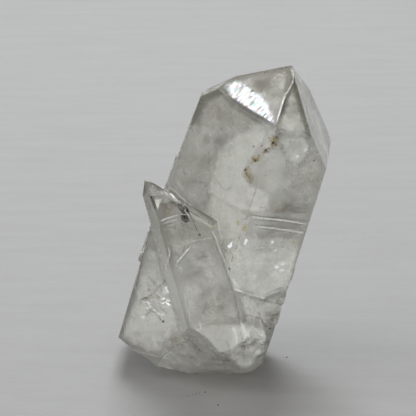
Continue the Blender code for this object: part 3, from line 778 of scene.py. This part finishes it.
def add_line(work, solid, points, width_px, strength):
    """Adds a ribbon on the surface along a line of the picture, faint at its borders and ends."""
    thick = work.verts.layers.float["thick"]
    points = [Vector(point) for point in points]
    path = []
    for start, end in zip(points, points[1:]):
        steps = max(1, round((end - start).length / LINE_STEP_PX))
        path += [start.lerp(end, step / steps) for step in range(steps)]
    path.append(points[-1])
    previous, place_before = None, None
    for index, spot in enumerate(path):
        heading = (path[min(index + 1, len(path) - 1)] - path[max(index - 1, 0)]).normalized()
        side = Vector((-heading.y, heading.x)) * width_px * 0.5
        place, normal, _ = solid.surface(spot)
        if place_before and (place - place_before).length > LONGEST_LINE_STEP_MM * MM:
            previous = None
        place_before = place
        end_distance = min((spot - path[0]).length, (spot - path[-1]).length)
        middle_strength = strength * (0.25 + 0.75 * min(1, end_distance / LINE_ENDS_PX))
        row = []
        for offset, share in ((-1.4, 0), (-0.5, 1), (0.5, 1), (1.4, 0)):
            beside = on_plane(spot + side * offset, place, normal) - place
            beside = beside.normalized() * min(beside.length, width_px * LINE_REACH_MM * MM)
            corner = work.verts.new(place + beside + normal * LINE_LIFT_MM * MM)
            corner[thick] = middle_strength * share
            row.append(corner)
        if previous:
            for column in range(3):
                work.faces.new((previous[column], previous[column + 1], row[column + 1], row[column]))
        previous = row


def make_lines(solid, name, lines, material, share):
    """Makes all lines of one kind. The share of their strength that is used is the same for all."""
    work = bmesh.new()
    work.verts.layers.float.new("thick")
    for points, width_px, strength in lines.values():
        add_line(work, solid, points, width_px * LINE_WIDTH_SHARE, strength * share)
    return add_object(name, work, material)


def make_stains(solid, name, stains, material):
    """Soft round stains on the surface."""
    work = bmesh.new()
    thick = work.verts.layers.float.new("thick")
    spokes, rings = 14, 4
    for middle, half_size, strength in stains.values():
        rows = []
        for ring in range(1, rings + 1):
            share = ring / rings
            row = []
            for spoke in range(spokes):
                angle = math.tau * spoke / spokes
                edge = 1 + 0.25 * noise.noise(Vector((*middle, 0)) + Vector((math.cos(angle), math.sin(angle), 0)) * 2)
                pixel = Vector(middle) + Vector((math.cos(angle) * half_size[0], math.sin(angle) * half_size[1])) * share * edge
                place, normal, _ = solid.surface(pixel)
                corner = work.verts.new(place + normal * LINE_LIFT_MM * MM)
                corner[thick] = strength * STAIN_SHARE * (1 - share**2)
                row.append(corner)
            rows.append(row)
        place, normal, _ = solid.surface(middle)
        heart = work.verts.new(place + normal * LINE_LIFT_MM * MM)
        heart[thick] = strength * STAIN_SHARE
        for spoke in range(spokes):
            after = (spoke + 1) % spokes
            add_short_face(work, [heart, rows[0][spoke], rows[0][after]])
            for inner, outer in zip(rows, rows[1:]):
                add_short_face(work, [inner[spoke], outer[spoke], outer[after], inner[after]])
    return add_object(name, work, material)


def add_lump(work, place, normal, radius_mm, draw, sunk=0.35, flat=0.7):
    """Adds an angular lump that sits a little sunk in its surface."""
    turn = normal.to_track_quat("Z", "Y").to_matrix().to_4x4() @ Matrix.Rotation(draw.uniform(0, math.tau), 4, "Z")
    stretch = draw.uniform(0.8, 1.35)
    size = Matrix.Diagonal((radius_mm * stretch, radius_mm / stretch, radius_mm * flat, 1)) * MM
    size[3][3] = 1
    lift = Matrix.Translation(place + normal * radius_mm * (flat - sunk) * 0.5 * MM)
    ball = bmesh.ops.create_icosphere(work, subdivisions=2, radius=1, matrix=lift @ turn @ size)
    phase = Vector((draw.uniform(0, 50), draw.uniform(0, 50), 0))
    middle = place
    for corner in ball["verts"]:
        away = corner.co - middle
        corner.co = middle + away * (1 + 0.45 * noise.noise(away / (radius_mm * MM) * 1.3 + phase))


def make_grains(solid):
    """Grains of dirt on the faces: the larger ones one by one, the finer ones strewn in zones."""
    draw = random.Random(DIRT_SEED)
    black = bmesh.new()
    brown = bmesh.new()
    for work, grains in ((black, BLACK_GRAINS), (brown, BROWN_GRAINS)):
        for pixel, size_px in grains:
            place, normal, _ = solid.surface(pixel)
            add_lump(work, place, normal, size_px * PIXEL_MM * 0.5 * GRAIN_SHARE, draw)
    for middle, half_size, count in DIRT_ZONES:
        for _ in range(count):
            pixel = [draw.gauss(at, half * 0.5) for at, half in zip(middle, half_size)]
            size_px = draw.uniform(0.35, 0.75)
            work = draw.choice((black, brown, brown))
            place, normal, _ = solid.surface(pixel)
            add_lump(work, place, normal, size_px * PIXEL_MM * 0.5, draw)
    low, high = (Vector(corner) for corner in cad_box)
    for _ in range(FAR_GRAINS):
        guess = Vector(draw.uniform(low[axis], high[axis]) for axis in range(3))
        place, normal, _, _ = solid.tree.find_nearest(guess)
        if normal.y > 0:
            add_lump(draw.choice((black, brown, brown)), place, normal, draw.uniform(0.05, 0.14), draw)
    add_object("grains_black", black, solid_material("grain_black", (0.012, 0.011, 0.010), (0.06, 0.05, 0.04), 0.5, 2500))
    add_object("grains_brown", brown, solid_material("grain_brown", (0.10, 0.055, 0.02), (0.30, 0.18, 0.07), 0.7, 2500))
    crumbs = bmesh.new()
    for pixel, size_px in CRUMBS:
        place, normal, _ = solid.surface(pixel)
        add_lump(crumbs, place, normal, size_px * PIXEL_MM * 0.5, draw, 0.6, 0.8)
    add_object("crumbs", crumbs, solid_material("crumb", (0.42, 0.40, 0.34), (0.78, 0.77, 0.72), 0.6, 1800))


def add_cloud(work, solid, draw):
    """Adds one healed crack: a wavy disc somewhere in the solid, cut off before it reaches the surface."""
    thick = work.verts.layers.float["thick"]
    low, high = (Vector(corner) for corner in cad_box)
    while True:
        middle = Vector(draw.uniform(low[axis], high[axis]) for axis in range(3))
        if solid.depth(middle) > 1.5 * MM:
            break
    normal = Vector(draw.gauss(0, 1) for _ in range(3)).normalized()
    turn = normal.to_track_quat("Z", "Y").to_matrix()
    radius = draw.uniform(*CLOUD_RADIUS_MM)
    density = draw.uniform(*CLOUD_DENSITY)
    reach = math.ceil(radius / CLOUD_PITCH_MM)
    corners = {}
    for row in range(-reach, reach + 1):
        for column in range(-reach, reach + 1):
            spot = Vector((column + 0.5 * (row % 2), row * 0.87, 0)) * CLOUD_PITCH_MM
            share = spot.length / radius
            if share > 1:
                continue
            spot.z = noise.noise(spot / 3 + middle / MM) * 0.8
            place = middle + turn @ spot * MM
            depth = solid.depth(place) / MM
            if depth < CLOUD_MARGIN_MM:
                continue
            corner = work.verts.new(place)
            corner[thick] = density * (1 - share**2) * min(1, (depth - CLOUD_MARGIN_MM) / 0.6)
            corners[row, column] = corner
    join_grid(work, corners)


def join_grid(work, corners):
    """Joins the corners of a triangular grid, kept by row and column, wherever all three are there."""
    for row, column in corners:
        shift = row % 2
        for around in (((row, column + 1), (row + 1, column + shift)),
                       ((row + 1, column + shift), (row + 1, column + shift - 1))):
            if all(step in corners for step in around):
                work.faces.new((corners[row, column], *(corners[step] for step in around)))


def make_clouds(solid):
    draw = random.Random(CLOUD_SEED)
    work = bmesh.new()
    work.verts.layers.float.new("thick")
    for _ in range(CLOUDS):
        add_cloud(work, solid, draw)
    for face in work.faces:
        face.smooth = True
    material = haze_material("cloud", (0.88, 0.90, 0.88), 0.7, 380, 0.40, 0.62, 0.05)
    return add_object("healed_cracks", work, material)


def add_film(work, solid, draw):
    """Adds one cloudy film on a face that the camera doesn't see: an uneven patch that ends where the face does."""
    thick = work.verts.layers.float["thick"]
    low, high = (Vector(corner) for corner in cad_box)
    view = (bpy.context.scene.camera.location - (low + high) * 0.5).normalized()
    while True:
        guess = Vector(draw.uniform(low[axis], high[axis]) for axis in range(3))
        middle, normal, _, _ = solid.tree.find_nearest(guess)
        if normal.dot(view) < FAR_COSINE and normal.z > -0.7:
            break
    turn = normal.to_track_quat("Z", "Y").to_matrix()
    radius = draw.uniform(*FILM_RADIUS_MM)
    stretch = Vector((1, draw.uniform(1.0, 2.2), 0))
    density = draw.uniform(*FILM_DENSITY)
    reach = math.ceil(radius * 2.2 / CLOUD_PITCH_MM)
    corners = {}
    for row in range(-reach, reach + 1):
        for column in range(-reach, reach + 1):
            spot = Vector((column + 0.5 * (row % 2), row * 0.87, 0)) * CLOUD_PITCH_MM
            share = Vector((spot.x / stretch.x, spot.y / stretch.y)).length / radius
            share *= 1 + 0.5 * noise.noise(spot / 3 + middle / MM)
            if share > 1:
                continue
            start = middle + turn @ spot * MM + normal * 2 * MM
            place, facing, _, _ = solid.tree.ray_cast(start, -normal, 4 * MM)
            if place is None or facing.dot(normal) < 0.94:
                continue
            corner = work.verts.new(place + normal * -FILM_MM * MM)
            corner[thick] = density * (1 - share**2)
            corners[row, column] = corner
    join_grid(work, corners)


def make_films(solid):
    draw = random.Random(FILM_SEED)
    work = bmesh.new()
    work.verts.layers.float.new("thick")
    for _ in range(FILMS):
        add_film(work, solid, draw)
    material = haze_material("far_film", (0.90, 0.91, 0.86), 0.35, 360, 0.36, 0.68, 0.15)
    return add_object("far_films", work, material)


def floor_point(pixel):
    return on_plane(pixel, Vector((0, 0, 0)), Vector((0, 0, 1)))


def add_stage(name, work, material):
    mesh = bpy.data.meshes.new(name)
    work.to_mesh(mesh)
    work.free()
    mesh.materials.append(material)
    piece = bpy.data.objects.new(name, mesh)
    bpy.context.scene.collection.objects.link(piece)
    return piece


def floor_material():
    """Pale board with fine fibres that run from left to right."""
    material, nodes, links = new_material("floor")
    shader = nodes["Principled BSDF"]
    shader.inputs["Roughness"].default_value = 0.9
    shader.inputs["Specular IOR Level"].default_value = 0.1
    place = nodes.new("ShaderNodeTexCoord").outputs["Object"]
    broad = noise_node(nodes, links, stretched(nodes, links, place, (40, 260, 1)), 1, 4, 0.6)
    fine = noise_node(nodes, links, stretched(nodes, links, place, (420, 1500, 1)), 1, 4, 0.65)
    both = math_node(nodes, links, "ADD", math_node(nodes, links, "MULTIPLY", broad, 0.55),
                     math_node(nodes, links, "MULTIPLY", fine, 0.45))
    tone = map_range(nodes, links, both, 0.36, 0.64, 0, 1)
    links.new(colour_mix(nodes, links, tone, (0.478, 0.476, 0.482), (0.514, 0.515, 0.518)), shader.inputs["Base Color"])
    links.new(bump_node(nodes, links, fine, 0.12, 0.5), shader.inputs["Normal"])
    return material


def make_floor():
    work = bmesh.new()
    bmesh.ops.create_grid(work, x_segments=8, y_segments=8, size=FLOOR_SIDE_MM * MM / 2)
    add_stage("floor", work, floor_material())
    draw = random.Random(DIRT_SEED)
    work = bmesh.new()
    for pixel, size_px in FLOOR_GRAINS:
        add_lump(work, floor_point(pixel), Vector((0, 0, 1)), size_px * PIXEL_MM * 0.5, draw)
    add_stage("floor_grains", work, solid_material("floor_grain", (0.05, 0.045, 0.04), (0.16, 0.14, 0.12), 0.8, 2000))


def area_light(name, at_mm, aim_mm, size_mm, watts, tint=(1, 1, 1)):
    data = bpy.data.lights.new(name, "AREA")
    data.shape = "RECTANGLE"
    data.size, data.size_y = (side * MM for side in size_mm)
    data.energy = watts
    data.color = tint
    lamp = bpy.data.objects.new(name, data)
    lamp.location = Vector(at_mm) * MM
    lamp.rotation_euler = (Vector(aim_mm) - Vector(at_mm)).to_track_quat("-Z", "Y").to_euler()
    bpy.context.scene.collection.objects.link(lamp)
    return lamp


def light_only(lamp, pieces):
    """Makes a lamp shine on some pieces alone, through the crystal round them."""
    group = bpy.data.collections.new(lamp.name + "_pieces")
    for piece in pieces:
        group.objects.link(piece)
    lamp.light_linking.receiver_collection = group
    lamp.light_linking.blocker_collection = group


def make_light(pale, bright, glint):
    world = bpy.data.worlds.new("studio")
    world.use_nodes = True
    bpy.context.scene.world = world
    back = world.node_tree.nodes["Background"]
    back.inputs["Color"].default_value = (1, 0.955, 0.89, 1)
    back.inputs["Strength"].default_value = 0.17
    cool = (0.965, 0.985, 1)
    warm = (1, 0.93, 0.82)
    area_light("overhead_light", (60, 60, 1000), (0, 0, 0), (1200, 1200), 2.1, cool).visible_transmission = False
    area_light("back_light", (20, 330, 620), (0, 0, 20), (300, 300), 2.85, cool).visible_transmission = False
    area_light("window_light", (-760, 80, 480), (0, 0, 20), (500, 500), 1.45, cool).visible_transmission = False
    area_light("fill_light", (-310, -190, 640), (0, -10, 40), (330, 330), 0.3, warm).visible_transmission = False
    light_only(area_light("veil_light", (300, -560, 290), (0, 0, 30), (300, 300), 2.25), pale)
    light_only(area_light("flake_light", (60, -460, 540), (0, 0, 30), (300, 300), 6), bright)
    light_only(area_light("glint_light", (-150, -400, 600), (0, 0, 30), (300, 300), 6.5), [glint])


def main():
    make_camera()
    make_floor()
    make_quartz()
    solid = Solid()
    pale, bright, glint = make_sheets(solid)
    pale += [make_clouds(solid), make_films(solid)]
    # The pale lines are growth lines and, along the edges, painted highlights.
    light = haze_material("growth_and_edge_highlight_line", (0.93, 0.94, 0.93), 0.4, 1200, 0.36, 0.56, 0.35)
    grey = haze_material("shade_line", (0.07, 0.07, 0.065), 0.5, 1200, 0.36, 0.56, 0.3)
    silt = haze_material("silt_line", (0.26, 0.19, 0.08), 0.8, 1200, 0.36, 0.56, 0.2)
    bright.append(make_lines(solid, "growth_and_edge_highlight_lines", LIGHT_LINES, light, 0.6))
    make_lines(solid, "shade_lines", GREY_LINES, grey, 0.9)
    make_lines(solid, "silt_lines", BROWN_LINES, silt, 1.2)
    brown = haze_material("silt", (0.40, 0.26, 0.07), 0.8, 1400, 0.38, 0.58, 0.2)
    make_stains(solid, "silt_stains", STAINS, brown)
    yellow = haze_material("ochre", (0.66, 0.56, 0.20), 0.8, 1000, 0.34, 0.60, 0.3)
    pale.append(make_stains(solid, "ochre_stains", YELLOW_STAINS, yellow))
    make_grains(solid)
    make_light(pale, bright, glint)
    scene = bpy.context.scene
    scene.view_settings.view_transform = "Standard"
    scene.cycles.max_bounces = 24
    scene.cycles.transmission_bounces = 20
    scene.cycles.transparent_max_bounces = 24


main()
